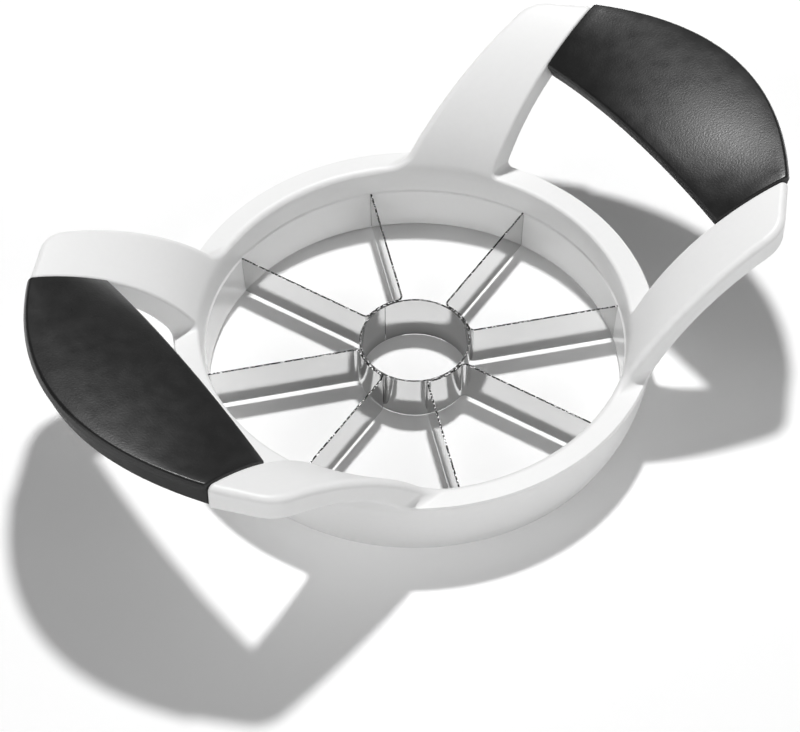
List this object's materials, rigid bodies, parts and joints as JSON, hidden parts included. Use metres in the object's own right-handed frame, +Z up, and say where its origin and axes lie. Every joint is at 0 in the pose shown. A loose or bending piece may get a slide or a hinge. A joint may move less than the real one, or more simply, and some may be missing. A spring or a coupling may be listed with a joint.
{
  "type": "apple slicer",
  "caption": "White plastic ring with swept-up soft black grips, holding a stainless coring tube and radial blades that core and divide an apple in one push.",
  "frame": {"origin": "on the surface the ring stands on, under the middle of the ring, which is the middle of the bounding box", "axes": "+X from the ring's middle through the middle of one grip, +Z up along the ring's axis, +Y across the handles"},
  "size_m": [0.1888, 0.114, 0.0531],
  "materials": {
    "white_body": "glossy white moulding",
    "white_carrier": "glossy white moulding, slightly greyer",
    "steel_tube": "bright rolled stainless strip",
    "steel_blades": "bright satin stainless strip with ground edges",
    "black_grip": "soft matte black with a fine skin-like grain"
  },
  "bodies": {
    "root": {"body_frame": "white_body", "blade_carrier": "white_carrier", "core_ring": "steel_tube", "blade_pair_east": "steel_blades", "blade_pair_north": "steel_blades", "blade_pair_west": "steel_blades", "blade_pair_south": "steel_blades", "grip_east": "black_grip", "grip_west": "black_grip"}
  },
  "joints": []
}
